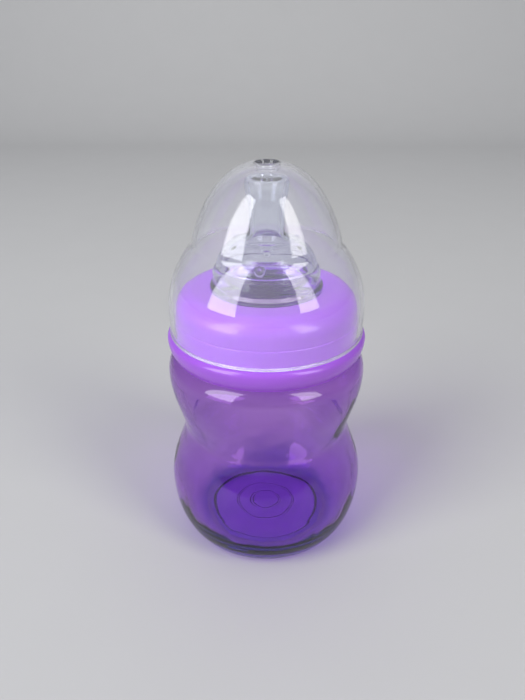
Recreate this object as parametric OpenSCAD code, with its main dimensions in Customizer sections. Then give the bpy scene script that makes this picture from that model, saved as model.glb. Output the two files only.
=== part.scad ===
// Wide-neck baby bottle: clear bottle with two bulges, screw collar, silicone teat and clear hood.
// Millimetres, +Z up. The origin is the centre of the foot ring on the surface it stands on.

/* [Bottle] */
// Outer radius of the foot ring where it meets the table
foot_r = 25.5; // [21:0.5:27]
// Width of the flat foot ring
foot_w = 3; // [1.5:0.5:5]
// Radius of the lower bulge
low_bulge_r = 35.6; // [30:0.1:43]
// Height of the widest part of the lower bulge
low_bulge_z = 22; // [16:0.5:27]
// Radius of the waist between the two bulges
waist_r = 29.6; // [25:0.1:33]
// Height of the waist
waist_z = 44.3; // [36:0.1:50]
// Radius of the upper bulge
top_bulge_r = 34.2; // [28:0.1:41]
// Height of the shoulder that the collar stops over
shoulder_z = 73.5; // [61:0.5:89]
// Depth of the widest part of the upper bulge below the shoulder
shoulder_drop = 7; // [4:0.5:10]
// Width of the flat shoulder around the neck
shoulder_w = 3.2; // [2:0.1:5]
// Wall thickness of the bottle
bottle_wall = 1.8; // [1.2:0.1:2.4]
// Thickness of the bottom
bottom_t = 2.2; // [1.6:0.1:3]
// Rise of the hollow under the bottom
punt_h = 1.6; // [0.8:0.1:2.4]

/* [Neck and thread] */
// Outer radius of the neck without its thread
neck_r = 26.8; // [22:0.1:32.2]
// Wall thickness of the neck
neck_wall = 2.2; // [1.6:0.1:3]
// Height of one full turn of the thread
pitch = 4; // [3:0.1:5]
// Turns of each thread
thread_turns = 1.25; // [0.75:0.25:1.5]
// Radial height of a thread ridge
thread_h = 1.4; // [1:0.1:1.7]
// Radial clearance between a thread ridge and the wall it faces
thread_gap = 0.3; // [0.2:0.05:0.5]

/* [Screw collar] */
// Height of the wide lower flange
flange_h = 7.3; // [6:0.1:9]
// Thickness of the flange at its widest part
flange_t = 5.3; // [4.6:0.1:6.4]
// How far the flange's lower edge is tucked in from its widest part
flange_tuck = 1.8; // [0.6:0.1:2.4]
// Height of the flange's widest part above its lower edge
flange_mid = 5.4; // [4.4:0.1:6.2]
// Distance from the flange's widest part to the band that the hood stands around
shelf_w = 2.8; // [2.5:0.1:3.4]
// Height of the band above the shelf
band_h = 5.7; // [4:0.1:7]
// Rise from the band to the flat top
dome_h = 9.2; // [7.7:0.1:11]
// Rounding between the collar's side and its flat top
top_round = 6.2; // [4.5:0.1:7]
// Radius of the opening that the teat stands in
opening_r = 18.4; // [15.3:0.1:20.4]
// Thickness of the collar's top
collar_top_t = 2.1; // [1.6:0.1:2.8]
// Gap between the collar and the bottle's shoulder
seat_gap = 0.4; // [0.2:0.1:1]

/* [Teat] */
// Wall thickness of the silicone
teat_wall = 1.6; // [1.3:0.1:2]
// Thickness of the flange that the collar clamps
teat_flange_t = 1.9; // [1.4:0.1:2.5]
// Clearance on each face of the clamped flange
clamp_gap = 0.1; // [0.05:0.05:0.2]
// Clearance of the teat in the collar's opening
lip_gap = 0.2; // [0.1:0.05:0.3]
// How far the bead above the opening stands out past it
bead_h = 0.3; // [0.2:0.05:0.5]
// How far the wall above the bead stands in from the opening
wall_inset = 0.7; // [0.4:0.1:1.2]
// Height of the wall from the collar's lip to the ledge
teat_wall_h = 7; // [6:0.1:9]
// Width of the ledge at the foot of the dome
ledge_w = 1; // [0.6:0.1:1.4]
// Radius of the dome's curve in section
dome_rad = 10.2; // [8.5:0.1:10.6]
// Radius of the nipple's stem
stem_r = 5.7; // [5.2:0.1:6.8]
// Radius of the nipple's rounded tip
tip_r = 7; // [6.4:0.1:8.2]
// Height of the nipple's tip above the ledge
tip_h = 29.7; // [25:0.1:35.6]
// Radius of each of the three flow holes
flow_hole_r = 0.35; // [0.2:0.05:0.5]
// Bumps around the dome
bump_count = 6; // [4:1:10]
// Radius of the air port in the dome
port_r = 0.6; // [0.5:0.05:0.8]
// Radius of the flap behind the air port
flap_r = 1.55; // [1.3:0.05:1.8]
// Thickness of the flap
flap_t = 0.45; // [0.3:0.05:0.5]
// Angle of the air port around the bottle
valve_az = -98; // [-180:1:180]

/* [Hood] */
// Wall thickness of the hood
hood_wall = 1.3; // [1:0.1:1.8]
// Clearance between the hood's rim and the collar's band
hood_gap = 0.2; // [0.1:0.05:0.4]
// Gap between the hood's rim and the shelf under it
rim_gap = 0.1; // [0.05:0.05:0.3]
// How far the hood swells out above its rim
hood_swell = 0.3; // [0:0.1:1]
// Height of the swell above the rim
hood_swell_z = 6.5; // [5:0.5:10]
// Radius of the crease between the hood's two domes
crease_r = 24; // [21:0.1:26]
// Height of the crease above the rim
crease_h = 29.8; // [26:0.1:34]
// Gap between the hood's top boss and the teat's tip
tip_gap = 0.4; // [0.2:0.1:1]
// Height of the cup in the hood's top
boss_h = 3; // [2.5:0.1:3.6]
// Outer radius of the cup at its mouth
boss_r = 4.4; // [3.7:0.1:5.3]

/* [Hidden] */
$fn = 96;
SEG = 12;                       // points along each stretch of an outline
THREAD_STEP = 10;               // degrees between the thread's cross-sections
EMBED = 0.5;                    // how deep a thread or bump is rooted in its wall

// Bottle
top_bulge_z = shoulder_z - shoulder_drop;
shoulder_r = neck_r + shoulder_w;
neck_in_r = neck_r - neck_wall;
foot_in_r = foot_r - foot_w;
ring_h = 0.4;                   // height of the rings moulded under the bottom
ring_radii = [5.3, 10.6];
crown_h = 0.8;                  // further rise of the hollow and of the floor to the axis
hollow_edge = 2;                // width of the curve from the foot ring up into the hollow

// Collar, from the neck outwards and from the shoulder upwards
crest_r = neck_r + thread_h;
bore_r = crest_r + thread_gap;
flange_r = bore_r + flange_t;
band_r = flange_r - shelf_w;
collar_z = shoulder_z + seat_gap;
shelf_z = collar_z + flange_h;
band_z = shelf_z + band_h;
lip_z = band_z + dome_h;
band_taper = 0.2;               // the band's top is a little narrower, to free the mould
slope = 0.22;                   // fall of the clamped face per millimetre of radius
under_z = lip_z - collar_top_t; // underside of the collar's top at its opening
seal_in = 0.6;                  // how far inside the neck's outer face the clamped face ends
seal_r = neck_r - seal_in;      // outer edge of the clamped face
seal_z = under_z - slope * (seal_r - opening_r);

// Teat
flange_top_z = seal_z - clamp_gap;
flange_low_z = flange_top_z - teat_flange_t;
neck_z = flange_low_z - clamp_gap;
groove_r = opening_r - lip_gap;
bead_r = opening_r + bead_h;
teat_r = opening_r - wall_inset;
teat_in_r = teat_r - teat_wall;
ledge_z = lip_z + teat_wall_h;
dome_foot_r = teat_r - ledge_w;
dome_sink = 0.8;                // depth of the centre of the dome's curve below the ledge
dome_lift = 1.7;                // height of the dome's foot above that centre
dome_c = [dome_foot_r - dome_rad, ledge_z - dome_sink];
dome_start = [dome_c[0] + sqrt(dome_rad * dome_rad - dome_lift * dome_lift), dome_c[1] + dome_lift];
root_rad = 3;                   // fillet between the stem and the dome
tip_z = ledge_z + tip_h;
tip_len = 3.3;                  // from the tip's widest part to its top
tip_corner = 2.6;               // rounding of the tip
tip_swell = 8.7;                // height over which the stem widens into the tip

// Thread positions: the collar's ridge runs half a pitch below the neck's
thread_drop = 9.4;              // from the neck's rim down to the lower end of its ridge
thread_z = neck_z - thread_drop;
thread_base = pitch * 0.575;
thread_crest = pitch * 0.275;

// Air valve, set square to the dome
valve_el = 24;                  // angle of the port above the dome's centre
seat_d = dome_rad - 0.65;       // distance of the flap's seat from the dome's centre
flap_gap = 0.1;                 // between the flap and its seat
flap_side_gap = 0.2;            // between the flap's edge and the pocket's wall
port_ring = 0.65;               // width of the raised ring round the port
port_ring_h = 0.25;             // how far the ring stands out
pocket_h = 2;                   // depth of the pocket that the flap lies in

// Hood
rim_z = shelf_z + rim_gap;
rim_in_r = band_r + hood_gap;
rim_r = rim_in_r + hood_wall;
crease_z = rim_z + crease_h;
boss_z = tip_z + tip_gap;
hood_z = boss_z + boss_h;
rim_bead_h = 1.1;               // height of the bead round the rim
crease_fillet = 3.9;

// Points of an arc from p to q; it bends to the left of the way for a positive radius
function arc(p, q, rad, n = SEG) =
    let (chord = q - p, len2 = norm(chord) / 2, side = sign(rad), r = max(abs(rad), len2 * 1.001))
    let (c = (p + q) / 2 + side * sqrt(r * r - len2 * len2) * [chord[1], -chord[0]] / (2 * len2))
    let (a = atan2(p[1] - c[1], p[0] - c[0]), half = asin(len2 / r))
    [for (i = [0:n]) c + r * [cos(a - side * 2 * half * i / n), sin(a - side * 2 * half * i / n)]];

// Quarter of an ellipse from p, where it runs upright, to q, where it runs level
function quarter(p, q, n = SEG) =
    [for (i = [0:n]) [q[0] + (p[0] - q[0]) * cos(90 * i / n), p[1] + (q[1] - p[1]) * sin(90 * i / n)]];

// The same quarter, run from its level end to its upright end
function level_quarter(p, q, n = SEG) = [for (i = [n:-1:0]) quarter(q, p, n)[i]];

// Waist to bulge: level with the axis at both ends, tighter at the waist as power nears 1
function swell(waist, bulge, power, n = SEG) =
    [for (i = [0:n]) [waist[0] + (bulge[0] - waist[0]) * pow(sin(90 * i / n), power),
                      waist[1] + (bulge[1] - waist[1]) * i / n]];
function backwards(p) = [for (i = [len(p) - 1:-1:0]) p[i]];

// An open outline that runs upwards, moved towards the axis by d
function inset(p, d) = [for (i = [0:len(p) - 1])
    let (a = p[max(i - 1, 0)], b = p[min(i + 1, len(p) - 1)])
    let (t = p[i][0] < 0.001 ? [-1, 0] : (b - a) / norm(b - a))
    [max(p[i][0] - d * t[1], 0), p[i][1] + d * t[0]]];

// Drops points closer together than a hundredth, so that stretches can share their ends
function tidy(p) = [for (i = [0:len(p) - 1]) if (i == 0 || norm(p[i] - p[i - 1]) > 0.01) p[i]];

// Outline of the bottle's two bulges, d inside the outer face, from the foot to the shoulder
function bulges(d, foot) = concat(
    level_quarter(foot, [low_bulge_r - d, low_bulge_z]),
    backwards(swell([waist_r - d, waist_z], [low_bulge_r - d, low_bulge_z], 1.4)),
    swell([waist_r - d, waist_z], [top_bulge_r - d, top_bulge_z], 1.5),
    quarter([top_bulge_r - d, top_bulge_z], [shoulder_r - d, shoulder_z - d]));

// Helical ridge around Z: root at r0, crest at r1, with ends that taper into the wall
module ridge(r0, r1, z0, base, crest) {
    n = round(thread_turns * 360 / THREAD_STEP);
    taper = 3;
    function lift(i) = min(1, (min(i, n - i) + 0.35) / taper);
    function at(r, i, z) = [r * cos(i * THREAD_STEP), r * sin(i * THREAD_STEP),
                            z0 + pitch * i * THREAD_STEP / 360 + z];
    pts = [for (i = [0:n]) let (rc = r0 + (r1 - r0) * lift(i))
        each [at(r0, i, -base / 2), at(rc, i, -crest / 2), at(rc, i, crest / 2), at(r0, i, base / 2)]];
    sides = [for (i = [0:n - 1], k = [0:3]) let (a = 4 * i + k, b = 4 * i + (k + 1) % 4)
        each [[a, a + 4, b + 4], [a, b + 4, b]]];
    inward = r1 < r0;
    faces = concat([[0, 1, 2], [0, 2, 3]],
                   [[4 * n + 2, 4 * n + 1, 4 * n], [4 * n + 3, 4 * n + 2, 4 * n]], sides);
    polyhedron(pts, inward ? faces : [for (f = faces) [f[2], f[1], f[0]]], convexity = 6);
}

module bottle() {
    rim = neck_wall / 2;
    outer = concat(
        [[0, punt_h + crown_h]],
        arc([foot_in_r - hollow_edge, punt_h], [foot_in_r, 0], -2.2, 5),
        bulges(0, [foot_r, 0]),
        arc([neck_r + 0.8, shoulder_z], [neck_r, shoulder_z + 0.8], 0.8, 4),
        arc([neck_r, neck_z - rim * 0.6], [neck_r - rim, neck_z], -rim, 4));
    floor_r = foot_r - 1.5;
    floor_z = punt_h + bottom_t;
    inner = concat(
        [[0, floor_z + crown_h]],
        bulges(bottle_wall, [floor_r, floor_z - 0.4]),
        arc([neck_in_r + 1.2, shoulder_z - bottle_wall],
            [neck_in_r, shoulder_z - bottle_wall + 1.2], 1.2, 4),
        [[neck_in_r, neck_z - rim * 0.6]]);
    color([0.45, 0.27, 0.78, 0.55]) {
        difference() {
            rotate_extrude() polygon(tidy(concat(outer, backwards(inner))));
            for (r = ring_radii) ring_groove(r);
        }
        ridge(neck_r - EMBED, crest_r, thread_z, thread_base, thread_crest);
    }
}

// Shallow ring moulded into the hollow under the bottom
module ring_groove(r) {
    rotate_extrude() translate([r, punt_h + crown_h * (1 - r / (foot_in_r - hollow_edge))])
        circle(ring_h, $fn = 24);
}

module collar() {
    edge = 0.4;
    shelf_fillet = 0.4;
    shelf_round = 2;
    band_step = 0.25;
    lip_edge = 0.8;
    mid_z = collar_z + flange_mid;
    low_r = flange_r - flange_tuck;
    tuck_rad = (flange_tuck * flange_tuck + flange_mid * flange_mid) / (2 * flange_tuck);
    top_r = band_r - band_taper;
    side_r = top_r - band_step - 0.15;
    outer = concat(
        arc([low_r - edge, collar_z], [low_r + 0.2, collar_z + edge], -edge * 1.1, 4),
        arc([low_r + 0.25, collar_z + edge + 0.1], [flange_r, mid_z], -tuck_rad),
        quarter([flange_r, mid_z], [flange_r - shelf_round, shelf_z], 8),
        arc([band_r + shelf_fillet, shelf_z], [band_r, shelf_z + shelf_fillet], shelf_fillet, 4),
        [[top_r, band_z], [top_r - band_step, band_z + 0.3]],
        quarter([side_r, lip_z - top_round], [side_r - top_round, lip_z]),
        arc([opening_r + lip_edge, lip_z], [opening_r, lip_z - lip_edge], -lip_edge, 5));
    inner = concat(
        [[opening_r, under_z]],
        arc([seal_r, seal_z], [bore_r, seal_z - (bore_r - seal_r)], -(bore_r - seal_r), 6),
        [[bore_r, collar_z + 1], [bore_r + 0.6, collar_z]]);
    color([0.66, 0.42, 0.9]) {
        rotate_extrude() polygon(tidy(concat(outer, inner)));
        ridge(bore_r + EMBED, neck_r + thread_gap, thread_z - pitch / 2, thread_base, thread_crest);
    }
}

// Outer outline of the teat's dome and nipple, from the ledge to the tip
function dome_skin() =
    let (root_c = [stem_r + root_rad,
                   dome_c[1] + sqrt(pow(dome_rad + root_rad, 2) - pow(stem_r + root_rad - dome_c[0], 2))])
    let (root = dome_c + (root_c - dome_c) * dome_rad / (dome_rad + root_rad))
    concat(
        arc(dome_start, root, -dome_rad, 14),
        arc(root, [stem_r, root_c[1]], root_rad, 8),
        s_curve([stem_r, tip_z - tip_len - tip_swell], [tip_r, tip_z - tip_len], 10),
        arc([tip_r, tip_z - tip_len], [tip_r - 2, tip_z - 0.65], -tip_corner, 7),
        arc([tip_r - 2, tip_z - 0.65], [0, tip_z], -19.5, 6));

// Outer outline of the teat above the collar: bead, wall and ledge, then the dome
function teat_skin() = concat(
    arc([groove_r, lip_z + 0.1], [bead_r, lip_z + 0.5], -0.6, 3),
    s_curve([bead_r, lip_z + 0.9], [teat_r, lip_z + 2.6], 6),
    arc([teat_r, ledge_z - 2.2], [teat_r - 0.5, ledge_z - 0.3], -3.5, 4),
    arc([dome_start[0] + 0.35, ledge_z], dome_start, 0.9, 3),
    dome_skin());

// Smooth step from p up to q, upright at both ends
function s_curve(p, q, n) = [for (i = [0:n]) [p[0] + (q[0] - p[0]) * (1 - cos(180 * i / n)) / 2,
                                              p[1] + (q[1] - p[1]) * i / n]];

module teat() {
    skin = tidy(teat_skin());
    under = 1.5;
    flange = concat(
        [[neck_in_r - 0.3, flange_low_z]],
        arc([seal_r - 0.4, flange_low_z], [seal_r, flange_low_z + 0.4], -0.4, 3),
        [[seal_r, flange_top_z], [groove_r, under_z - clamp_gap]]);
    cavity = concat(
        arc([groove_r + under, under_z - teat_flange_t - 0.4], [teat_in_r, under_z + 0.8], 3, 5),
        [[teat_in_r, ledge_z - teat_wall]],
        inset(tidy(dome_skin()), teat_wall));
    color([0.9, 0.92, 0.97, 0.55]) difference() {
        union() {
            rotate_extrude() polygon(tidy(concat(flange, skin, backwards(cavity))));
            for (k = [0:bump_count - 1]) rotate([0, 0, (k + 0.5) * 360 / bump_count]) bump();
            at_valve() translate([0, 0, dome_rad - EMBED])
                cylinder(r = port_r + port_ring, h = EMBED + port_ring_h);
        }
        for (k = [0:2]) rotate([0, 0, 90 + 120 * k]) flow_hole();
        at_valve() valve_port();
    }
}

// Small round bump on the dome
module bump() {
    el = 58;
    bump_r = 0.95;
    dist = dome_rad + 0.4 - bump_r;
    translate([dome_c[0] + dist * cos(el), 0, dome_c[1] + dist * sin(el)]) sphere(r = bump_r, $fn = 24);
}

module flow_hole() {
    flow_ring_r = 1.5;
    translate([flow_ring_r, 0, tip_z - 2 * teat_wall])
        cylinder(r = flow_hole_r, h = 3 * teat_wall, $fn = 24);
}

// Puts its children on the air port's axis, with their origin at the dome's centre
module at_valve() {
    rotate([0, 0, valve_az]) translate([dome_c[0], 0, dome_c[1]]) rotate([0, 90 - valve_el, 0]) children();
}

// Port through the wall and the pocket that the flap lies in
module valve_port() {
    cylinder(r = port_r, h = dome_rad + 2, $fn = 24);
    translate([0, 0, seat_d - pocket_h]) cylinder(r = flap_r + flap_side_gap, h = pocket_h, $fn = 48);
}

module air_flap() {
    color([0.85, 0.88, 0.95, 0.6]) at_valve()
        translate([0, 0, seat_d - flap_gap - flap_t]) cylinder(r = flap_r, h = flap_t, $fn = 48);
}

// Outer outline of the hood, from the rim to the top, with a small fillet in the crease
function hood_skin() =
    let (swell_r = rim_r + hood_swell, crease = [crease_r, crease_z], top_h = hood_z - crease_z)
    let (low = arc([swell_r, rim_z + hood_swell_z], crease, -32, 24))
    let (high = [for (i = [2:24]) let (a = 90 * i / 24)
        [(crease_r + 0.2) * pow(cos(a), 0.8), crease_z + top_h * pow(sin(a), 1.59)]])
    concat(
        [[rim_r, rim_z + rim_bead_h]],
        arc([rim_r, rim_z + rim_bead_h + 0.2], [swell_r, rim_z + hood_swell_z], -60, 5),
        [for (i = [0:23]) low[i]],
        arc(low[23], high[0], crease_fillet, 4),
        high);

module hood() {
    skin = hood_skin();
    well_t = 0.8;
    bead = 0.35;
    rim = [[rim_in_r, rim_z + rim_bead_h], [rim_in_r, rim_z], [rim_r + bead - 0.2, rim_z],
           [rim_r + bead, rim_z + 0.3], [rim_r + bead, rim_z + 0.8]];
    color([0.93, 0.95, 0.98, 0.35]) difference() {
        union() {
            rotate_extrude() polygon(tidy(concat(rim, skin, backwards(inset(skin, hood_wall)))));
            translate([0, 0, boss_z]) cylinder(r1 = boss_r - well_t, r2 = boss_r, h = boss_h - 0.6);
        }
        translate([0, 0, boss_z + well_t])
            cylinder(r1 = boss_r - 2 * well_t, r2 = boss_r - well_t / 2, h = boss_h);
    }
}

bottle();
collar();
teat();
air_flap();
hood();
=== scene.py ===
"""A clear two-bulge baby bottle with its collar, silicone teat and hood, on a pale studio floor."""

import logging
import math
from dataclasses import dataclass, field
from enum import Enum
from typing import Any, Callable, Iterable

import bmesh
import bpy
from mathutils import Euler, Matrix, Vector, noise


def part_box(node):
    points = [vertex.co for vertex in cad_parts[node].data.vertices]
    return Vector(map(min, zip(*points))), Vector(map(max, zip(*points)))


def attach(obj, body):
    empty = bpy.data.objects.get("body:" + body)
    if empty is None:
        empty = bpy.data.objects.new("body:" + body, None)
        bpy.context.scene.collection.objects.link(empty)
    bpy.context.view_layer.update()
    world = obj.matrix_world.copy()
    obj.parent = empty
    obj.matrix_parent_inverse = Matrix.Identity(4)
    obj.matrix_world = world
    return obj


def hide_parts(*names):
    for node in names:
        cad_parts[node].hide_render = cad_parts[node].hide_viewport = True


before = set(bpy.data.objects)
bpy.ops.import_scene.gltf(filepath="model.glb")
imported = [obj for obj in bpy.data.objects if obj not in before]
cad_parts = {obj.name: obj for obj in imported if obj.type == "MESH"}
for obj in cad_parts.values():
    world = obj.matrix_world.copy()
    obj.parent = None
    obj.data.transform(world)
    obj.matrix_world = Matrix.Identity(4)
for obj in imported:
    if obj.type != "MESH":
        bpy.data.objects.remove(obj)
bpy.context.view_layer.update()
TURN_STEPS = 192                  # steps of a full turn
COLLAR_GAP = 0.0004               # from the bottle's shoulder up to the collar
LOG = logging.getLogger("baby_bottle")

Point = tuple[float, float]
Point3 = tuple[float, float, float]
Colour = tuple[float, float, float]


class Bend(Enum):
    """The side that an arc bulges to, seen along the way it runs."""

    LEFT = 1.0
    RIGHT = -1.0


class Body(Enum):
    """The rigid bodies that pieces ride on."""

    BOTTLE = "bottle"
    TEAT = "teat"
    FLAP = "air_flap"
    COLLAR = "collar"
    HOOD = "hood"


class Slot(Enum):
    """The record's material slots."""

    TINTED = "tinted_clear_plastic"
    VIOLET = "violet_plastic"
    SILICONE = "clear_silicone"
    CLEAR = "clear_plastic"


# ---------------------------------------------------------------------------------------------
# Shader sums


class Wire:
    """A socket's value, which can be used in sums with numbers and other wires."""

    def __init__(self, graph: "Graph", socket: bpy.types.NodeSocket) -> None:
        """Wraps an output socket of a node in the graph."""
        self.graph = graph
        self.socket = socket

    def _math(self, operation: str, first: Any, second: Any) -> "Wire":
        """Adds one Math node and returns its value."""
        node = self.graph.node("ShaderNodeMath", {"operation": operation}, {0: first, 1: second})
        return Wire(self.graph, node.outputs[0])

    def __add__(self, other: Any) -> "Wire":
        """Sum."""
        return self._math("ADD", self, other)

    def __radd__(self, other: Any) -> "Wire":
        """Sum with a number on the left."""
        return self._math("ADD", other, self)

    def __sub__(self, other: Any) -> "Wire":
        """Difference."""
        return self._math("SUBTRACT", self, other)

    def __rsub__(self, other: Any) -> "Wire":
        """Difference with a number on the left."""
        return self._math("SUBTRACT", other, self)

    def __mul__(self, other: Any) -> "Wire":
        """Product."""
        return self._math("MULTIPLY", self, other)

    def __rmul__(self, other: Any) -> "Wire":
        """Product with a number on the left."""
        return self._math("MULTIPLY", other, self)

    def __pow__(self, other: Any) -> "Wire":
        """Power."""
        return self._math("POWER", self, other)

    def above(self, level: float) -> "Wire":
        """1 where the value is above the level, else 0."""
        return self._math("GREATER_THAN", self, level)


class Graph:
    """The node tree of one material, with its output node."""

    def __init__(self, name: str) -> None:
        """Makes an empty node material of that name."""
        self.material = bpy.data.materials.new(name)
        self.material.use_nodes = True
        self.tree = self.material.node_tree
        self.tree.nodes.clear()
        self.output = self.tree.nodes.new("ShaderNodeOutputMaterial")

    def node(self, kind: str, settings: dict[str, Any] | None = None,
             inputs: dict[int | str, Any] | None = None) -> bpy.types.Node:
        """Adds a node.

        Args:
            kind: the node's type.
            settings: its properties, which are set first.
            inputs: its sockets by number or name, each a Wire or a constant.

        Returns:
            The new node.
        """
        node = self.tree.nodes.new(kind)
        for key, value in (settings or {}).items():
            setattr(node, key, value)
        for key, value in (inputs or {}).items():
            if isinstance(value, Wire):
                self.tree.links.new(value.socket, node.inputs[key])
            else:
                node.inputs[key].default_value = value
        return node

    def wire(self, kind: str, output: int | str, settings: dict[str, Any] | None = None,
             inputs: dict[int | str, Any] | None = None) -> Wire:
        """Adds a node and returns one of its outputs as a Wire."""
        return Wire(self, self.node(kind, settings, inputs).outputs[output])

    def place(self) -> Wire:
        """The point on the piece, in its own coordinates."""
        return self.wire("ShaderNodeTexCoord", "Object")

    def stretched(self, scale: Point3, turn: Point3 = (0.0, 0.0, 0.0)) -> Wire:
        """The point on the piece, turned and then scaled along each axis."""
        return self.wire("ShaderNodeMapping", "Vector", {"vector_type": "POINT"},
                         {"Vector": self.place(), "Scale": scale, "Rotation": turn})

    def noise(self, scale: float, detail: float = 3.0, roughness: float = 0.5,
              at: Wire | None = None) -> Wire:
        """Smooth noise between 0 and 1; scale is in cells a metre."""
        return self.wire("ShaderNodeTexNoise", "Fac", None,
                         {"Vector": at or self.place(), "Scale": scale, "Detail": detail,
                          "Roughness": roughness})

    def bump(self, height: Wire, distance: float, strength: float = 1.0,
             under: Wire | None = None) -> Wire:
        """A normal from a height between 0 and 1, whose full height is distance metres."""
        inputs = {"Height": height, "Distance": distance, "Strength": strength}
        if under is not None:
            inputs["Normal"] = under
        return self.wire("ShaderNodeBump", "Normal", None, inputs)

    def blend(self, factor: Wire, low: Colour, high: Colour) -> Wire:
        """A colour that goes from low to high as the factor goes from 0 to 1."""
        node = self.node("ShaderNodeMix", {"data_type": "RGBA"}, {"Factor": factor})
        node.inputs[6].default_value = (*low, 1.0)
        node.inputs[7].default_value = (*high, 1.0)
        return Wire(self, node.outputs[2])

    def surface(self, inputs: dict[str, Any], lamp_tint: Colour | None = None,
                highlight_share: Wire | None = None) -> None:
        """Joins a Principled shader with those inputs to the output.

        Args:
            inputs: the shader's sockets.
            lamp_tint: for a clear piece, the share of each colour that lamps send through a face.
            highlight_share: how far a clear piece is whitened, from 0 to 1, as a painted highlight.
        """
        shader = self.wire("ShaderNodeBsdfPrincipled", 0, None, inputs)
        # Painted highlight: where asked, the clear piece is mixed with a white shader.
        if highlight_share is not None:
            white = self.wire("ShaderNodeBsdfPrincipled", 0, None,
                              {"Base Color": (0.86, 0.87, 0.92, 1.0), "Roughness": 0.25})
            shader = self.wire("ShaderNodeMixShader", 0, None, {0: highlight_share, 1: shader, 2: white})
        if lamp_tint is not None:
            open_way = self.wire("ShaderNodeBsdfTransparent", 0, None, {"Color": (*lamp_tint, 1.0)})
            lamps = self.wire("ShaderNodeLightPath", "Is Shadow Ray")
            shader = self.wire("ShaderNodeMixShader", 0, None, {0: lamps, 1: shader, 2: open_way})
        self.tree.links.new(shader.socket, self.output.inputs["Surface"])

    def tint(self, colour: Colour, density: float) -> None:
        """Makes the inside absorb light: what the colour lacks is lost with depth.

        Args:
            colour: the colour that passes.
            density: losses per metre for a colour part of 0.
        """
        volume = self.node("ShaderNodeVolumeAbsorption", None,
                           {"Color": (*colour, 1.0), "Density": density})
        self.tree.links.new(volume.outputs[0], self.output.inputs["Volume"])


# ---------------------------------------------------------------------------------------------
# Finishes


@dataclass(frozen=True)
class ScuffedGloss:
    """Roughness of a polished moulding: nearly smooth, with faint smears and hairline scuffs."""

    polish: float
    smear: float
    scuff: float
    smear_cells: float = 55.0
    line_cells: Point3 = (900.0, 900.0, 60.0)
    line_turn: Point3 = (0.5, 0.2, 0.0)
    line_level: float = 0.735
    patch_cells: float = 40.0
    patch_level: float = 0.55

    def roughness(self, graph: Graph) -> Wire:
        """The roughness over the surface."""
        smears = graph.noise(self.smear_cells, 4.0, 0.6) ** 3.0
        return smears * self.smear + self.lines(graph) * self.scuff + self.polish

    def lines(self, graph: Graph) -> Wire:
        """1 on thin slanting hairlines, else 0."""
        fine = graph.noise(1.0, 2.0, 0.5, graph.stretched(self.line_cells, self.line_turn))
        patches = graph.noise(self.patch_cells, 2.0)
        return fine.above(self.line_level) * patches.above(self.patch_level)


@dataclass(frozen=True)
class TintedClear:
    """Transparent purple plastic, whose colour deepens where it is seen along its wall."""

    passes: Colour = (0.61, 0.08, 0.86)
    density: float = 370.0
    skin_low: Colour = (0.93, 0.90, 1.0)
    skin_high: Colour = (0.98, 0.97, 1.0)
    skin_cells: float = 70.0
    ripple_cells: float = 120.0
    ripple_stretch: Point3 = (1.0, 1.0, 0.35)
    ripple_height: float = 0.00005
    scuff_depth: float = 0.000004
    index: float = 1.52
    lamp_tint: Colour = (0.76, 0.53, 0.90)
    gloss: ScuffedGloss = field(default_factory=lambda: ScuffedGloss(0.002, 0.012, 0.16))

    def material(self) -> bpy.types.Material:
        """Builds the material."""
        graph = Graph("tinted_clear_plastic")
        waves = graph.noise(self.ripple_cells, 2.0, 0.5, graph.stretched(self.ripple_stretch))
        ripples = graph.bump(waves, self.ripple_height)
        normal = graph.bump(self.gloss.lines(graph), self.scuff_depth, under=ripples)
        skin = graph.blend(graph.noise(self.skin_cells), self.skin_low, self.skin_high)
        graph.surface({"Base Color": skin, "Roughness": self.gloss.roughness(graph), "Normal": normal,
                       "Transmission Weight": 1.0, "IOR": self.index}, self.lamp_tint)
        graph.tint(self.passes, self.density)
        return graph.material


@dataclass(frozen=True)
class ClearPlastic:
    """Colourless polished plastic with a faint bloom, handling marks and a painted highlight along the
    rim's lower edge.
    """

    rim: float
    rim_height: float = 0.0005
    # Whiteness of the painted highlight along the rim's lower edge.
    highlight_white: float = 0.45
    rim_cells: float = 90.0
    passes: Colour = (0.90, 0.93, 1.0)
    density: float = 45.0
    haze: float = 0.05
    skin_low: Colour = (0.93, 0.93, 0.98)
    skin_high: Colour = (1.0, 1.0, 1.0)
    skin_cells: float = 80.0
    ripple_cells: float = 90.0
    ripple_height: float = 0.00005
    scuff_depth: float = 0.000005
    index: float = 1.48
    lamp_tint: Colour = (0.80, 0.80, 0.81)
    gloss: ScuffedGloss = field(default_factory=lambda: ScuffedGloss(0.03, 0.08, 0.22))

    def material(self) -> bpy.types.Material:
        """Builds the material."""
        graph = Graph("clear_plastic")
        ripples = graph.bump(graph.noise(self.ripple_cells, 2.0), self.ripple_height)
        normal = graph.bump(self.gloss.lines(graph), self.scuff_depth, under=ripples)
        skin = graph.blend(graph.noise(self.skin_cells), self.skin_low, self.skin_high)
        # The rim's lower edge gets a painted highlight: a white band in noisy patches.
        graph.surface({"Base Color": skin, "Roughness": self.gloss.roughness(graph), "Normal": normal,
                       "Transmission Weight": 1.0 - self.haze, "IOR": self.index},
                      self.lamp_tint, self.painted_rim_highlight(graph))
        graph.tint(self.passes, self.density)
        return graph.material

    def painted_rim_highlight(self, graph: Graph) -> Wire:
        """How white the plastic is along the rim's lower edge, a painted highlight in noisy patches; 0
        elsewhere.
        """
        height = graph.wire("ShaderNodeSeparateXYZ", "Z", None, {"Vector": graph.place()})
        patches = graph.noise(self.rim_cells, 3.0) * self.highlight_white
        return (self.rim + self.rim_height - height).above(0.0) * patches


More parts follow.
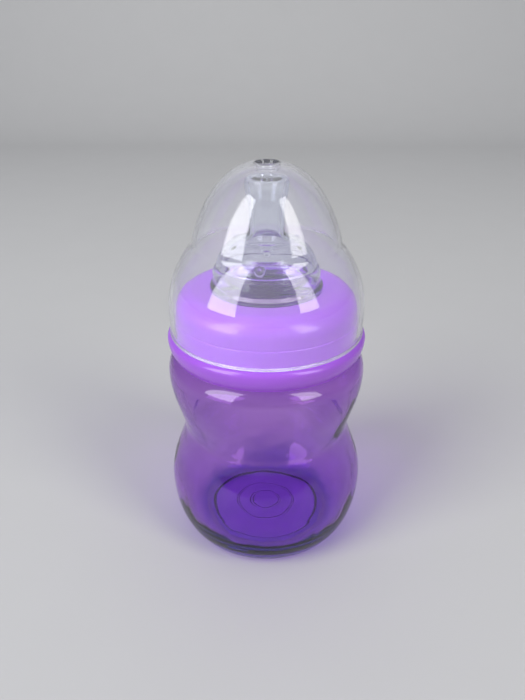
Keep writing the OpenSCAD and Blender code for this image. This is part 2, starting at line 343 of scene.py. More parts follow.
@dataclass(frozen=True)
class ClearSilicone:
    """Clear silicone rubber with a faint milky bloom and a satin skin."""

    passes: Colour = (0.62, 0.74, 1.0)
    density: float = 70.0
    milk: float = 0.012
    skin_low: Colour = (0.93, 0.95, 0.98)
    skin_high: Colour = (1.0, 1.0, 1.0)
    bloom_cells: float = 60.0
    grain_cells: float = 700.0
    grain_height: float = 0.00001
    wave_cells: float = 110.0
    wave_height: float = 0.00006
    index: float = 1.41
    lamp_tint: Colour = (0.96, 0.96, 0.96)

    def material(self) -> bpy.types.Material:
        """Builds the material."""
        graph = Graph("clear_silicone")
        grain = graph.bump(graph.noise(self.grain_cells, 3.0), self.grain_height)
        normal = graph.bump(graph.noise(self.wave_cells, 2.0), self.wave_height, under=grain)
        bloom = graph.noise(self.bloom_cells, 4.0, 0.6)
        graph.surface({"Base Color": graph.blend(bloom, self.skin_low, self.skin_high),
                       "Roughness": bloom * 0.04 + 0.01, "Normal": normal,
                       "Transmission Weight": 1.0 - self.milk, "IOR": self.index}, self.lamp_tint)
        graph.tint(self.passes, self.density)
        return graph.material


@dataclass(frozen=True)
class VioletPlastic:
    """Opaque glossy violet plastic with a soft moulded sheen and faint flow marks."""

    deep: Colour = (0.31, 0.088, 0.63)
    light: Colour = (0.37, 0.116, 0.69)
    flow_cells: float = 38.0
    flow_stretch: Point3 = (1.0, 1.0, 2.5)
    grain_cells: float = 1500.0
    grain_height: float = 0.000012
    wave_cells: float = 60.0
    wave_height: float = 0.00005
    smear_cells: float = 45.0
    bleed: float = 0.12
    bleed_radius: Point3 = (0.6, 0.3, 1.0)
    bleed_depth: float = 0.002
    index: float = 1.49

    def material(self) -> bpy.types.Material:
        """Builds the material."""
        graph = Graph("violet_plastic")
        flow = graph.noise(self.flow_cells, 4.0, 0.55, graph.stretched(self.flow_stretch))
        grain = graph.bump(graph.noise(self.grain_cells, 2.0), self.grain_height)
        normal = graph.bump(graph.noise(self.wave_cells, 2.0), self.wave_height, under=grain)
        smears = graph.noise(self.smear_cells, 5.0, 0.65) ** 2.0
        graph.surface({"Base Color": graph.blend(flow, self.deep, self.light),
                       "Roughness": smears * 0.20 + 0.13, "Normal": normal,
                       "Subsurface Weight": self.bleed, "Subsurface Radius": self.bleed_radius,
                       "Subsurface Scale": self.bleed_depth, "IOR": self.index})
        return graph.material


@dataclass(frozen=True)
class FloorPaint:
    """Plain pale matt floor."""

    shade: Colour = (0.52, 0.52, 0.525)

    def material(self) -> bpy.types.Material:
        """Builds the material."""
        graph = Graph("floor_paint")
        speck = graph.noise(25.0, 3.0)
        light = tuple(min(1.0, part * 1.03) for part in self.shade)
        graph.surface({"Base Color": graph.blend(speck, self.shade, light), "Roughness": 0.6,
                       "Specular IOR Level": 0.2})
        return graph.material


# ---------------------------------------------------------------------------------------------
# Outlines and turned shapes


class Outline:
    """Half of a turned piece's section, drawn as points (radius, height) in metres."""

    def __init__(self, radius: float, height: float) -> None:
        """Starts the outline at a point."""
        self.points: list[Point] = [(radius, height)]

    def line(self, radius: float, height: float) -> "Outline":
        """Runs straight to a point."""
        self.add([(radius, height)])
        return self

    def arc(self, radius: float, height: float, curve: float, bend: Bend, steps: int = 12) -> "Outline":
        """Runs along an arc to a point.

        Args:
            radius: end point's distance from the axis.
            height: end point's height.
            curve: the arc's own radius.
            bend: the side that the arc bulges to.
            steps: points along the arc.

        Returns:
            The outline, for the next stretch.
        """
        start, end = Vector(self.points[-1]), Vector((radius, height))
        chord = end - start
        half = chord.length / 2
        curve = max(curve, half * 1.001)
        across = Vector((chord.y, -chord.x)) / chord.length * bend.value
        centre = (start + end) / 2 + across * math.sqrt(curve ** 2 - half ** 2)
        first = math.atan2(start.y - centre.y, start.x - centre.x)
        sweep = -bend.value * 2 * math.asin(half / curve)
        self.add((centre.x + curve * math.cos(first + sweep * step / steps),
                   centre.y + curve * math.sin(first + sweep * step / steps))
                  for step in range(1, steps + 1))
        return self

    def upright_quarter(self, radius: float, height: float, steps: int = 18) -> "Outline":
        """Runs along a quarter ellipse that starts upright and ends level."""
        r0, z0 = self.points[-1]
        self.add((radius + (r0 - radius) * math.cos(a), z0 + (height - z0) * math.sin(a))
                  for a in self._angles(steps))
        return self

    def level_quarter(self, radius: float, height: float, steps: int = 24) -> "Outline":
        """Runs along a quarter ellipse that starts level and ends upright."""
        r0, z0 = self.points[-1]
        self.add((r0 + (radius - r0) * math.sin(a), height + (z0 - height) * math.cos(a))
                  for a in self._angles(steps))
        return self

    def swell(self, radius: float, height: float, power: float, steps: int = 26) -> "Outline":
        """Runs from a waist out to a bulge, upright at both ends."""
        r0, z0 = self.points[-1]
        self.add((r0 + (radius - r0) * math.sin(a) ** power, z0 + (height - z0) * a / (math.pi / 2))
                  for a in self._angles(steps))
        return self

    def shrink(self, radius: float, height: float, power: float, steps: int = 26) -> "Outline":
        """Runs from a bulge in to a waist, the same shape as swell the other way."""
        r0, z0 = self.points[-1]
        self.add((radius + (r0 - radius) * max(math.cos(a), 0.0) ** power,
                   z0 + (height - z0) * a / (math.pi / 2))
                  for a in self._angles(steps))
        return self

    def ease(self, radius: float, height: float, steps: int = 14) -> "Outline":
        """Runs along a smooth step, upright at both ends."""
        r0, z0 = self.points[-1]
        self.add((r0 + (radius - r0) * (1 - math.cos(2 * a)) / 2, z0 + (height - z0) * a / (math.pi / 2))
                  for a in self._angles(steps))
        return self

    def follow(self, other: "Outline", wall: float, beyond: float = -1.0) -> "Outline":
        """Runs back down the inside of another outline.

        Args:
            other: an outline that runs upwards to the axis.
            wall: how far inside it to stay.
            beyond: radius that the run starts outside of.

        Returns:
            The outline, for the next stretch.
        """
        points = [Vector(point) for point in other.points]
        inside = []
        for index, here in enumerate(points):
            before, after = points[max(index - 1, 0)], points[min(index + 1, len(points) - 1)]
            way = Vector((-1.0, 0.0)) if here.x < 1e-6 else (after - before).normalized()
            inside.append((max(here.x - wall * way.y, 0.0), here.y + wall * way.x))
        self.add(point for point in reversed(inside) if point[0] > beyond)
        return self

    def add(self, points: Iterable[Point]) -> None:
        """Adds points that are not on top of the last one."""
        for radius, height in points:
            r0, z0 = self.points[-1]
            if math.hypot(radius - r0, height - z0) > 2e-6:
                self.points.append((max(radius, 0.0), height))

    @staticmethod
    def _angles(steps: int) -> Iterable[float]:
        """Angles of a quarter turn, without the first."""
        return (math.pi / 2 * step / steps for step in range(1, steps + 1))


class Mould:
    """One mesh in the making."""

    def __init__(self) -> None:
        """Starts with an empty mesh."""
        self.mesh = bmesh.new()

    def turned(self, outline: Outline, closed: bool = False, steps: int = TURN_STEPS) -> "Mould":
        """Adds an outline turned about Z.

        Args:
            outline: the half-section.
            closed: True where its last point joins its first.
            steps: steps of the full turn.

        Returns:
            The mould, for the next step.
        """
        verts = [self.mesh.verts.new((radius, 0.0, height)) for radius, height in outline.points]
        pairs = list(zip(verts, verts[1:])) + ([(verts[-1], verts[0])] if closed else [])
        edges = [self.mesh.edges.new(pair) for pair in pairs if max(vert.co.x for vert in pair) > 0]
        bmesh.ops.spin(self.mesh, geom=verts + edges, cent=(0.0, 0.0, 0.0), axis=(0.0, 0.0, 1.0),
                       dvec=(0.0, 0.0, 0.0), angle=math.tau, steps=steps, use_merge=True,
                       use_normal_flip=False, use_duplicate=False)
        return self.tidied()

    def tidied(self) -> "Mould":
        """Merges doubles and turns all faces outwards."""
        bmesh.ops.remove_doubles(self.mesh, verts=self.mesh.verts, dist=1e-6)
        bmesh.ops.dissolve_degenerate(self.mesh, edges=self.mesh.edges, dist=1e-7)
        bmesh.ops.recalc_face_normals(self.mesh, faces=self.mesh.faces)
        return self

    def pushed(self, shift: Callable[[bmesh.types.BMVert], float]) -> "Mould":
        """Moves each vertex along its normal by what shift gives for it, in metres."""
        self.mesh.normal_update()
        for vert, distance in [(vert, shift(vert)) for vert in self.mesh.verts]:
            vert.co += vert.normal * distance
        return self

    def moved(self, matrix: Matrix) -> "Mould":
        """Moves the whole mesh by a matrix."""
        bmesh.ops.transform(self.mesh, matrix=matrix, verts=self.mesh.verts)
        return self

    def cast(self, name: str, sharp_deg: float = 38.0) -> bpy.types.Object:
        """Makes the scene's object from the mesh, smooth except at sharp edges."""
        data = bpy.data.meshes.new(name)
        self.mesh.to_mesh(data)
        self.mesh.free()
        piece = bpy.data.objects.new(name, data)
        bpy.context.scene.collection.objects.link(piece)
        smooth(piece, sharp_deg)
        return piece


def smooth(piece: bpy.types.Object, sharp_deg: float) -> None:
    """Shades a piece smooth, with its sharper edges kept sharp."""
    piece.data.shade_smooth()
    piece.data.set_sharp_from_angle(angle=math.radians(sharp_deg))


def carve(piece: bpy.types.Object, tool: bpy.types.Object, add: bool = False) -> None:
    """Joins a tool to a piece or cuts it out, and removes the tool.

    Args:
        piece: the mesh that changes.
        tool: a closed mesh.
        add: True to join it, False to cut it out.
    """
    change = piece.modifiers.new("carve", "BOOLEAN")
    change.operation = "UNION" if add else "DIFFERENCE"
    change.solver = "EXACT"
    change.object = tool
    graph = bpy.context.evaluated_depsgraph_get()
    result = bpy.data.meshes.new_from_object(piece.evaluated_get(graph))
    piece.modifiers.clear()
    piece.data = result
    spent = tool.data
    bpy.data.objects.remove(tool)
    bpy.data.meshes.remove(spent)


def dress(piece: bpy.types.Object, material: bpy.types.Material, body: Body, slot: Slot,
          *nodes: str) -> bpy.types.Object:
    """Gives a piece its material and body, and hides the CAD nodes it stands for."""
    piece.data.materials.clear()
    piece.data.materials.append(material)
    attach(piece, body.value)
    if nodes:
        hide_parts(*nodes)
    LOG.info("%s: %d faces", piece.name, len(piece.data.polygons))
    return piece


# ---------------------------------------------------------------------------------------------
# Sub-assemblies


@dataclass
class Thread:
    """A helical ridge of rounded section around Z."""

    root: float
    crest: float
    start: float
    pitch: float = 0.004
    turns: float = 1.25
    base: float = 0.0023
    top: float = 0.0011
    chamfer_share: float = 0.75
    chamfer_out: float = 0.0002
    chamfer_in: float = 0.0001
    end_lift: float = 0.1
    taper_steps: int = 4
    step_deg: float = 5.0

    def build(self, name: str) -> bpy.types.Object:
        """Sweeps the ridge's section up the helix, with ends that sink into the wall."""
        steps = round(self.turns * 360 / self.step_deg)
        mould = Mould()
        ring = [mould.mesh.verts.new(self._corner(*corner)) for corner in self._section(self.end_lift)]
        face = mould.mesh.faces.new(ring)
        for step in range(1, steps + 1):
            grown = bmesh.ops.extrude_discrete_faces(mould.mesh, faces=[face])["faces"][0]
            lift = min(1.0, (min(step, steps - step) + 0.4) / self.taper_steps)
            turn = Matrix.Rotation(math.radians(step * self.step_deg), 4, "Z")
            rise = Matrix.Translation((0, 0, self.pitch * step * self.step_deg / 360))
            for loop, (radius, height) in zip(grown.loops, self._section(lift)):
                loop.vert.co = rise @ turn @ self._corner(radius, height)
            face = grown
        return mould.tidied().cast(name)

    def _corner(self, radius: float, height: float) -> Vector:
        """A point of the section at the helix's start."""
        return Vector((radius, 0.0, self.start + height))

    def _section(self, lift: float) -> list[Point]:
        """Corners of the ridge's section, its crest at a share of the full height."""
        high = self.root + (self.crest - self.root) * lift
        chamfer = self.chamfer_share * (self.crest - self.root) * lift + self.root
        wide = self.top / 2 + self.chamfer_out
        narrow = self.top / 2 - self.chamfer_in
        return [(self.root, -self.base / 2), (chamfer, -wide), (high, -narrow),
                (high, narrow), (chamfer, wide), (self.root, self.base / 2)]


@dataclass
class Bottle:
    """The transparent body: a foot ring, two bulges, a shoulder and a threaded neck."""

    bulge: float
    neck_top: float
    shoulder: float
    foot: float = 0.0255
    foot_inside: float = 0.0225
    foot_round: float = 0.0022
    foot_slope: float = 0.002
    hollow: float = 0.0016
    crown: float = 0.0008
    bottom: float = 0.0022
    floor_inset: float = 0.0015
    floor_edge: float = 0.0004
    bulge_height: float = 0.022
    waist: float = 0.0296
    waist_height: float = 0.0443
    low_power: float = 1.4
    high_power: float = 1.5
    top_bulge: float = 0.0342
    top_bulge_drop: float = 0.007
    shoulder_edge: float = 0.030
    wall: float = 0.0018
    neck: float = 0.0268
    neck_wall: float = 0.0022
    neck_fillet: float = 0.0008
    inner_fillet: float = 0.0012
    rim_drop: float = 0.7
    thread_drop: float = 0.0094
    thread_height: float = 0.0014
    thread_sink: float = 0.0005
    ring_radii: tuple[float, ...] = (0.0053, 0.0106)
    ring_size: float = 0.0005
    slow_wave: float = 0.00024
    slow_cells: float = 85.0
    quick_wave: float = 0.00005
    quick_cells: float = 240.0
    wave_clear: float = 0.004
    wave_fade: float = 0.006

    @classmethod
    def from_frame(cls) -> "Bottle":
        """Takes the bottle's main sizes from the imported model."""
        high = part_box("bottle")[1]
        return cls(bulge=high.x, neck_top=high.z, shoulder=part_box("collar")[0].z - COLLAR_GAP)

    def outline(self) -> Outline:
        """The section: under the foot, up the outside, over the rim and down the inside."""
        crown = self.hollow + self.crown
        slope_edge = self.foot_inside - self.foot_slope
        shape = Outline(0.0, crown)
        for radius in self.ring_radii:
            height = crown - self.crown * radius / slope_edge
            shape.line(radius - self.ring_size, height)
            shape.arc(radius + self.ring_size, height, self.ring_size * 1.05, Bend.LEFT, 8)
        shape.line(slope_edge, self.hollow)
        shape.arc(self.foot_inside, 0.0, self.foot_round, Bend.RIGHT, 8)
        shape.line(self.foot, 0.0)
        top_height = self.shoulder - self.top_bulge_drop
        shape.level_quarter(self.bulge, self.bulge_height)
        shape.shrink(self.waist, self.waist_height, self.low_power)
        shape.swell(self.top_bulge, top_height, self.high_power)
        shape.upright_quarter(self.shoulder_edge, self.shoulder)
        shape.line(self.neck + self.neck_fillet, self.shoulder)
        shape.arc(self.neck, self.shoulder + self.neck_fillet, self.neck_fillet, Bend.LEFT, 6)
        half_rim = self.neck_wall / 2
        rim_side = self.neck_top - half_rim * self.rim_drop
        shape.line(self.neck, rim_side)
        shape.arc(self.neck - half_rim, self.neck_top, half_rim, Bend.RIGHT, 8)
        inside = self.neck - self.neck_wall
        shape.arc(inside, rim_side, half_rim, Bend.RIGHT, 8)
        under = self.shoulder - self.wall
        shape.line(inside, under + self.inner_fillet)
        shape.arc(inside + self.inner_fillet, under, self.inner_fillet, Bend.RIGHT, 6)
        shape.line(self.shoulder_edge - self.wall, under)
        shape.level_quarter(self.top_bulge - self.wall, top_height)
        shape.shrink(self.waist - self.wall, self.waist_height, self.high_power)
        shape.swell(self.bulge - self.wall, self.bulge_height, self.low_power)
        floor = self.hollow + self.bottom
        shape.upright_quarter(self.foot - self.floor_inset, floor - self.floor_edge)
        shape.line(0.0, floor + self.crown)
        return shape

    def ripple(self, vert: bmesh.types.BMVert) -> float:
        """How far a point of the inner wall stands off its true surface, as blown walls do."""
        here = vert.co
        rise = here.z - self.bottom - self.hollow
        faces_in = vert.normal.dot(Vector((here.x, here.y, 0.0))) < 0
        if not (faces_in and 0.0 < rise and here.z < self.shoulder - self.wave_clear):
            return 0.0
        slow = noise.noise(Vector((here.x, here.y, here.z * 0.6)) * self.slow_cells)
        quick = noise.noise(Vector((here.x, here.y, here.z * 0.8)) * self.quick_cells
                            + Vector((7.0, 3.0, 1.0)))
        return min(1.0, rise / self.wave_fade) * (slow * self.slow_wave + quick * self.quick_wave)

    def build(self, material: bpy.types.Material) -> bpy.types.Object:
        """Builds and dresses the bottle."""
        piece = Mould().turned(self.outline()).pushed(self.ripple).cast("bottle_body")
        ridge = Thread(self.neck - self.thread_sink, self.neck + self.thread_height,
                       self.neck_top - self.thread_drop)
        carve(piece, ridge.build("neck_thread"), add=True)
        smooth(piece, 38.0)
        return dress(piece, material, Body.BOTTLE, Slot.TINTED, "bottle")


@dataclass
class Collar:
    """The screw collar: a tucked flange with a thread inside, a shelf, a band and a flat-topped dome."""

    low: float
    flange: float
    lip: float
    neck_top: float
    tuck: float = 0.0018
    middle: float = 0.0054
    flange_height: float = 0.0073
    foot_inset: float = 0.0004
    foot_rise: float = 0.0005
    foot_out: float = 0.00025
    shelf: float = 0.0028
    shelf_round: float = 0.002
    shelf_fillet: float = 0.0004
    band_height: float = 0.0057
    band_lean: float = 0.0002
    band_edge: float = 0.0004
    top_round: float = 0.0062
    opening: float = 0.0184
    opening_round: float = 0.0008
    bore: float = 0.0285
    bore_lead: float = 0.001
    bore_flare: float = 0.0006
    top_wall: float = 0.0021
    seal: float = 0.0262
    slope: float = 0.22
    thread_drop: float = 0.0114
    thread_height: float = 0.0014
    thread_sink: float = 0.0005

    @classmethod
    def from_frame(cls) -> "Collar":
        """Takes the collar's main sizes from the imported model."""
        low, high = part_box("collar")
        return cls(low=low.z, flange=high.x, lip=high.z, neck_top=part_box("bottle")[1].z)

    def outline(self) -> Outline:
        """The section: up the flange, over the dome and down the bore."""
        shelf = self.low + self.flange_height
        band = self.flange - self.shelf
        band_top = shelf + self.band_height
        under_edge = self.flange - self.tuck
        bend = (self.tuck ** 2 + self.middle ** 2) / (2 * self.tuck)
        shape = Outline(under_edge - self.foot_inset, self.low)
        shape.arc(under_edge + self.foot_out, self.low + self.foot_rise, self.foot_rise, Bend.RIGHT, 6)
        shape.arc(self.flange, self.low + self.middle, bend, Bend.RIGHT, 20)
        shape.upright_quarter(self.flange - self.shelf_round, shelf, 14)
        shape.line(band + self.shelf_fillet, shelf)
        shape.arc(band, shelf + self.shelf_fillet, self.shelf_fillet, Bend.LEFT, 5)
        side = band - self.band_lean
        shape.line(side, band_top).arc(side - 0.00025, band_top + 0.0003, self.band_edge, Bend.RIGHT, 4)
        shape.line(side - self.band_edge, self.lip - self.top_round)
        shape.upright_quarter(side - self.band_edge - self.top_round, self.lip, 24)
        shape.line(self.opening + self.opening_round, self.lip)
        shape.arc(self.opening, self.lip - self.opening_round, self.opening_round, Bend.RIGHT, 8)
        under = self.lip - self.top_wall
        seal_height = under - self.slope * (self.seal - self.opening)
        corner = self.bore - self.seal
        shape.line(self.opening, under).line(self.seal, seal_height)
        shape.arc(self.bore, seal_height - corner, corner, Bend.RIGHT, 8)
        shape.line(self.bore, self.low + self.bore_lead).line(self.bore + self.bore_flare, self.low)
        return shape

    def build(self, material: bpy.types.Material) -> bpy.types.Object:
        """Builds and dresses the collar."""
        piece = Mould().turned(self.outline(), closed=True).cast("screw_collar")
        ridge = Thread(self.bore + self.thread_sink, self.bore - self.thread_height,
                       self.neck_top - self.thread_drop)
        carve(piece, ridge.build("collar_thread"), add=True)
        smooth(piece, 30.0)
        return dress(piece, material, Body.COLLAR, Slot.VIOLET, "collar")


@dataclass
class Teat:
    """The silicone teat: flange, wall, bead, ledge, bumped dome and nipple, with its air port."""

    low: float
    tip: float
    seal: float
    lip: float
    wall: float = 0.0016
    groove: float = 0.0182
    bead: float = 0.0187
    side: float = 0.0177
    ledge_rise: float = 0.007
    dome_curve: float = 0.0102
    dome_centre: float = 0.0065
    dome_start: float = 0.0017
    centre_drop: float = 0.0008
    stem: float = 0.0057
    stem_end: float = 0.012
    tip_radius: float = 0.007
    tip_side: float = 0.0033
    root_curve: float = 0.003
    flange_wall: float = 0.0019
    under: float = 0.0021
    bumps: int = 6
    bump_rise: float = 58.0
    bump_height: float = 0.00045
    bump_size: float = 0.0009
    edge_round: float = 0.0004
    hole: float = 0.00035
    hole_out: float = 0.0015
    port: float = 0.0006
    port_ring: float = 0.00065
    port_ring_height: float = 0.00025
    port_angle: float = -98.0
    port_rise: float = 24.0
    flap: float = 0.00155
    flap_thick: float = 0.00045
    flap_gap: float = 0.0002
    pocket: float = 0.002

    @classmethod
    def from_frame(cls) -> "Teat":
        """Takes the teat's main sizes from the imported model."""
        low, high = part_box("teat")
        return cls(low=low.z, tip=high.z, seal=high.x, lip=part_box("collar")[1].z)

    @property
    def ledge(self) -> float:
        """Height of the ledge at the foot of the dome."""
        return self.lip + self.ledge_rise

    @property
    def centre_height(self) -> float:
        """Height of the centre of the dome's curve."""
        return self.ledge - self.centre_drop

    def dome(self) -> Outline:
        """The outside from the ledge to the tip."""
        start = self.dome_centre + math.sqrt(self.dome_curve ** 2 - self.dome_start ** 2)
        reach = self.dome_curve + self.root_curve
        root_out = self.stem + self.root_curve - self.dome_centre
        root_up = math.sqrt(reach ** 2 - root_out ** 2)
        share = self.dome_curve / reach
        shape = Outline(start, self.centre_height + self.dome_start)
        shape.arc(self.dome_centre + root_out * share, self.centre_height + root_up * share,
                  self.dome_curve, Bend.RIGHT, 40)
        shape.arc(self.stem, self.centre_height + root_up, self.root_curve, Bend.LEFT, 16)
        shape.line(self.stem, self.tip - self.stem_end)
        shape.ease(self.tip_radius, self.tip - self.tip_side, 22)
        shape.arc(self.tip_radius - 0.002, self.tip - 0.00065, 0.0026, Bend.RIGHT, 14)
        shape.arc(0.0, self.tip, 0.0195, Bend.RIGHT, 14)
        return shape

    def outline(self) -> Outline:
        """The section: flange, wall, dome and nipple outside, then back down the inside."""
        under = self.lip - self.under
        dome = self.dome()
        edge = self.edge_round
        shape = Outline(self.seal - self.flange_wall, self.low)
        shape.line(self.seal - edge, self.low).arc(self.seal, self.low + edge, edge, Bend.RIGHT, 5)
        shape.line(self.seal, self.low + self.flange_wall)
        shape.line(self.groove, under - 0.0001).line(self.groove, self.lip + 0.0001)
        shape.arc(self.bead, self.lip + 0.0005, 0.0006, Bend.RIGHT, 6)
        shape.line(self.bead, self.lip + 0.0009).ease(self.side, self.lip + 0.0026, 12)
        shape.line(self.side, self.ledge - 0.0022)
        shape.arc(self.side - 0.0005, self.ledge - 0.0003, 0.0035, Bend.RIGHT, 8)
        start = dome.points[0]
        shape.line(start[0] + 0.00035, self.ledge).arc(*start, 0.0009, Bend.LEFT, 6)
        shape.add(dome.points)
        shape.follow(dome, self.wall)
        inside = self.side - self.wall
        shape.line(inside, self.ledge - self.wall).line(inside, under + 0.0008)
        shape.arc(self.groove + 0.0015, under - self.flange_wall - 0.0004, 0.003, Bend.RIGHT, 8)
        return shape

    def bump(self, vert: bmesh.types.BMVert) -> float:
        """How far the ring of small bumps raises a point of the dome."""
        rise = math.radians(self.bump_rise)
        ring = Vector((self.dome_centre + self.dome_curve * math.cos(rise), 0.0,
                       self.centre_height + self.dome_curve * math.sin(rise)))
        if abs(vert.co.z - ring.z) > 3 * self.bump_size:
            return 0.0
        share = math.tau / self.bumps
        angle = math.atan2(vert.co.y, vert.co.x)
        nearest = (math.floor(angle / share) + 0.5) * share
        peak = Matrix.Rotation(nearest, 3, "Z") @ ring
        far = (vert.co - peak).length / self.bump_size
        return self.bump_height * math.exp(-(far ** 4)) if far < 1.6 else 0.0

    def valve_place(self) -> Matrix:
        """The air port's axis as Z, with its origin at the centre of the dome's curve."""
        return (Matrix.Rotation(math.radians(self.port_angle), 4, "Z")
                @ Matrix.Translation((self.dome_centre, 0.0, self.centre_height))
                @ Matrix.Rotation(math.radians(90.0 - self.port_rise), 4, "Y"))

    def _post(self, radius: float, low: float, high: float, place: Matrix, name: str) -> bpy.types.Object:
        """A closed round post along the Z axis of a place."""
        mould = Mould()
        bmesh.ops.create_circle(mould.mesh, cap_ends=True, segments=40, radius=radius,
                                matrix=Matrix.Translation((0.0, 0.0, low)))
        grown = bmesh.ops.extrude_face_region(mould.mesh, geom=mould.mesh.faces[:])["geom"]
        verts = [item for item in grown if isinstance(item, bmesh.types.BMVert)]
        bmesh.ops.translate(mould.mesh, verts=verts, vec=(0.0, 0.0, high - low))
        return mould.moved(place).tidied().cast(name)

    def build(self, material: bpy.types.Material) -> bpy.types.Object:
        """Builds and dresses the teat."""
        blank = Mould().turned(self.outline(), closed=True, steps=256)
        piece = blank.pushed(self.bump).cast("silicone_teat")
        place = self.valve_place()
        ring = self._post(self.port + self.port_ring, self.dome_curve - 0.0005,
                          self.dome_curve + self.port_ring_height, place, "port_ring")
        carve(piece, ring, add=True)
        carve(piece, self._post(self.port, self.dome_curve - 0.003, self.dome_curve + 0.002, place, "port"))
        seat = self.dome_curve - 0.00065
        carve(piece, self._post(self.flap + self.flap_gap, seat - self.pocket, seat, place, "flap_pocket"))
        for turn in range(3):
            spot = (Matrix.Rotation(math.radians(90 + 120 * turn), 4, "Z")
                    @ Matrix.Translation((self.hole_out, 0.0, 0.0)))
            hole = self._post(self.hole, self.tip - 2 * self.wall, self.tip + 0.001, spot, "flow_hole")
            carve(piece, hole)
        smooth(piece, 38.0)
        return dress(piece, material, Body.TEAT, Slot.SILICONE, "teat")

    def build_flap(self, material: bpy.types.Material) -> bpy.types.Object:
        """Builds and dresses the flap behind the air port."""
        low = self.dome_curve - 0.0012
        high = low + self.flap_thick
        edge = 0.0001
        shape = Outline(0.0, low).line(self.flap - edge, low)
        shape.arc(self.flap, low + edge, edge, Bend.RIGHT, 4)
        shape.line(self.flap, high - edge).arc(self.flap - edge, high, edge, Bend.RIGHT, 4)
        shape.line(self.port, high).line(self.port * 0.6, high - edge).line(0.0, high - edge)
        piece = Mould().turned(shape, steps=48).moved(self.valve_place()).cast("air_valve_flap")
        return dress(piece, material, Body.FLAP, Slot.SILICONE, "air_flap")


@dataclass
class Hood:
    """The clear hood: a beaded rim, a lower dome, a crease and an upper dome with a top well."""

    low: float
    tip: float
    rim_inside: float = 0.0312
    wall: float = 0.0013
    bead: float = 0.00035
    swell: float = 0.0003
    swell_height: float = 0.0065
    swell_curve: float = 0.060
    crease: float = 0.024
    crease_height: float = 0.0298
    lower_curve: float = 0.032
    dome_step: float = 0.0002
    dome_powers: Point = (0.8, 1.59)
    bead_height: float = 0.0011
    mouth_round: float = 0.0003
    fillet: float = 0.0039
    tip_gap: float = 0.0004
    cup: float = 0.0036
    cup_height: float = 0.003
    cup_wall: float = 0.0008
    cup_flare: float = 0.33

    @classmethod
    def from_frame(cls) -> "Hood":
        """Takes the hood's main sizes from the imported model."""
        return cls(low=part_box("hood")[0].z, tip=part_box("teat")[1].z)

    def skin(self) -> Outline:
        """The outside from above the bead to the top."""
        rim = self.rim_inside + self.wall
        crease_z = self.low + self.crease_height
        top = self.tip + self.tip_gap + self.cup_height
        across, up = self.dome_powers
        shape = Outline(rim, self.low + self.bead_height)
        shape.line(rim, self.low + self.bead_height + 0.0002)
        shape.arc(rim + self.swell, self.low + self.swell_height, self.swell_curve, Bend.RIGHT, 10)
        shape.arc(self.crease, crease_z, self.lower_curve, Bend.RIGHT, 48)
        del shape.points[-2:]         # the fillet takes the last of the lower dome
        dome = [((self.crease + self.dome_step) * max(math.cos(a), 0.0) ** across,
                 crease_z + (top - crease_z) * math.sin(a) ** up)
                for a in (math.pi / 2 * step / 72 for step in range(6, 73))]
        shape.arc(*dome[0], self.fillet, Bend.LEFT, 8)
        shape.add(dome)
        return shape

    def outline(self) -> Outline:
        """The section: round the rim's bead, up the outside and back down the inside."""
        skin = self.skin()
        edge = self.rim_inside + self.wall + self.bead
        bead_top = self.low + self.bead_height
        turn = self.mouth_round
        shape = Outline(self.rim_inside, bead_top)
        shape.line(self.rim_inside, self.low + 0.0002)
        shape.arc(self.rim_inside + 0.0002, self.low, 0.0002, Bend.LEFT, 4)
        shape.line(edge - turn, self.low).arc(edge, self.low + turn, turn, Bend.RIGHT, 5)
        shape.line(edge, bead_top - turn).arc(edge - 0.00033, bead_top, turn, Bend.RIGHT, 4)
        shape.add(point for point in skin.points if point[0] > self.cup + turn)
        top = shape.points[-1][1]
        shape.arc(self.cup, top - 0.0002, turn, Bend.RIGHT, 6)
        cup_low = self.tip + self.tip_gap
        well = self.cup - self.cup_wall
        shape.line(well, cup_low + self.cup_wall + turn)
        shape.arc(well - turn, cup_low + self.cup_wall, turn, Bend.LEFT, 5)
        shape.line(0.0, cup_low + self.cup_wall).line(0.0, cup_low).line(self.cup - turn, cup_low)
        shape.arc(self.cup, cup_low + turn, turn, Bend.LEFT, 5)
        inner_z = top - self.wall
        flared = self.cup + self.cup_flare * (inner_z - cup_low)
        shape.line(flared, inner_z)
        shape.follow(skin, self.wall, beyond=flared + 0.0002)
        return shape

    def build(self, material: bpy.types.Material) -> bpy.types.Object:
        """Builds and dresses the hood."""
        piece = Mould().turned(self.outline(), closed=True).cast("clear_hood", 35.0)
        return dress(piece, material, Body.HOOD, Slot.CLEAR, "hood")


# ---------------------------------------------------------------------------------------------
# Studio


@dataclass(frozen=True)
class Panel:
    """A tall soft light that stands on a circle round the bottle."""

    name: str
    angle_deg: float
    distance: float
    low: float
    high: float
    width: float
    power: float
    colour: Colour = (1.0, 1.0, 1.0)

    def build(self) -> bpy.types.Object:
        """Makes the light; angle 0 is in front of the bottle and positive is to the right."""
        light = bpy.data.lights.new(self.name, "AREA")
        light.shape = "RECTANGLE"
        light.size = self.width
        light.size_y = self.high - self.low
        light.energy = self.power
        light.color = self.colour
        lamp = bpy.data.objects.new(self.name, light)
        turn = math.radians(self.angle_deg)
        lamp.location = (self.distance * math.sin(turn), -self.distance * math.cos(turn),
                         (self.low + self.high) / 2)
        lamp.rotation_euler = Euler((math.radians(90.0), 0.0, turn))
        bpy.context.scene.collection.objects.link(lamp)
        return lamp


@dataclass(frozen=True)
class Ceiling:
    """A wide soft light overhead."""

    height: float = 1.5
    back: float = 0.35
    size: float = 1.3
    power: float = 3.0

    def build(self) -> bpy.types.Object:
        """Makes the light, which shines straight down."""
        light = bpy.data.lights.new("ceiling", "AREA")
        light.size = self.size
        light.energy = self.power
        lamp = bpy.data.objects.new("ceiling", light)
        lamp.location = (0.0, self.back, self.height)
        bpy.context.scene.collection.objects.link(lamp)
        return lamp


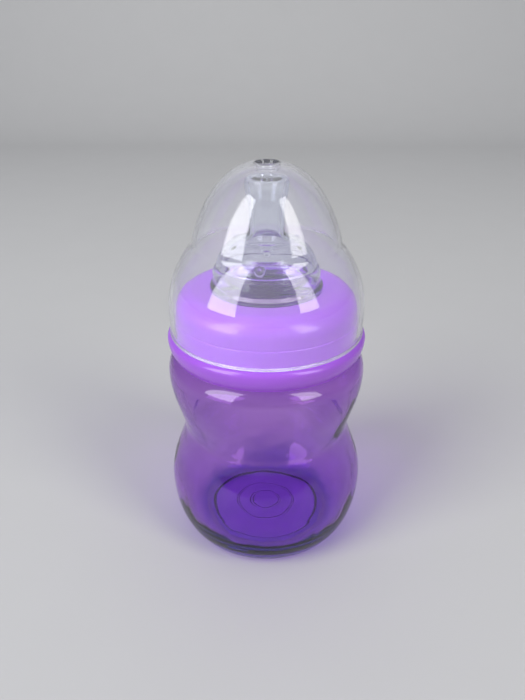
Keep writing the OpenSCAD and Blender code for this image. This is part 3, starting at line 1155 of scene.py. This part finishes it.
@dataclass
class Studio:
    """Pale floor with a curved-up back, soft lights and the camera."""

    floor_half: float = 1.6
    back: float = 0.9
    curve: float = 0.35
    wall_height: float = 1.2
    panels: tuple[Panel, ...] = (
        Panel("left_panel", -52.0, 1.0, 0.20, 1.95, 0.62, 20.0, (0.97, 0.98, 1.0)),
        Panel("right_panel", 50.0, 1.0, 0.26, 1.85, 0.42, 11.0, (1.0, 0.985, 0.96)),
    )
    sky: Colour = (0.80, 0.82, 0.86)
    sky_strength: float = 0.36
    camera_height: float = 0.1695
    camera_back: float = 0.1871
    camera_tilt_deg: float = 27.6
    camera_yaw_deg: float = 0.41
    lens: float = 30.86

    def floor(self) -> bpy.types.Object:
        """The floor, which sweeps up behind the bottle."""
        mould = Mould()
        rise = [(self.back, 0.0)]
        rise += [(self.back + self.curve * math.sin(a), self.curve * (1 - math.cos(a)))
                 for a in (math.pi / 2 * step / 16 for step in range(1, 17))]
        rise.append((self.back + self.curve, self.wall_height))
        side = [(-self.floor_half, 0.0), *rise]
        profile = [mould.mesh.verts.new((-self.floor_half, y, z)) for y, z in side]
        edges = [mould.mesh.edges.new(pair) for pair in zip(profile, profile[1:])]
        grown = bmesh.ops.extrude_edge_only(mould.mesh, edges=edges)["geom"]
        verts = [item for item in grown if isinstance(item, bmesh.types.BMVert)]
        bmesh.ops.translate(mould.mesh, verts=verts, vec=(2 * self.floor_half, 0.0, 0.0))
        piece = mould.tidied().cast("floor")
        piece.data.materials.append(FloorPaint().material())
        return piece

    def world(self) -> None:
        """Dim even light from all round."""
        world = bpy.data.worlds.new("studio")
        world.use_nodes = True
        inputs = world.node_tree.nodes["Background"].inputs
        inputs["Color"].default_value = (*self.sky, 1.0)
        inputs["Strength"].default_value = self.sky_strength
        bpy.context.scene.world = world

    def camera(self) -> None:
        """The camera, above and in front of the bottle, looking down at it."""
        data = bpy.data.cameras.new("camera")
        data.lens = self.lens
        data.clip_start = 0.01
        eye = bpy.data.objects.new("camera", data)
        eye.location = (0.0, -self.camera_back, self.camera_height)
        eye.rotation_euler = Euler((math.radians(90.0 - self.camera_tilt_deg), 0.0,
                                    math.radians(self.camera_yaw_deg)))
        bpy.context.scene.collection.objects.link(eye)
        bpy.context.scene.camera = eye

    def build(self) -> None:
        """Makes the whole studio."""
        self.camera()
        self.floor()
        self.world()
        for panel in self.panels:
            panel.build()
        Ceiling().build()
        bpy.context.scene.view_settings.view_transform = "Standard"


def main() -> None:
    """Builds the studio and every piece of the bottle, in order."""
    logging.basicConfig(level=logging.INFO, format="%(name)s %(message)s")
    Studio().build()
    silicone = ClearSilicone().material()
    Bottle.from_frame().build(TintedClear().material())
    Collar.from_frame().build(VioletPlastic().material())
    teat = Teat.from_frame()
    teat.build(silicone)
    teat.build_flap(silicone)
    Hood.from_frame().build(ClearPlastic(rim=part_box("hood")[0].z).material())


if __name__ == "__main__":
    main()
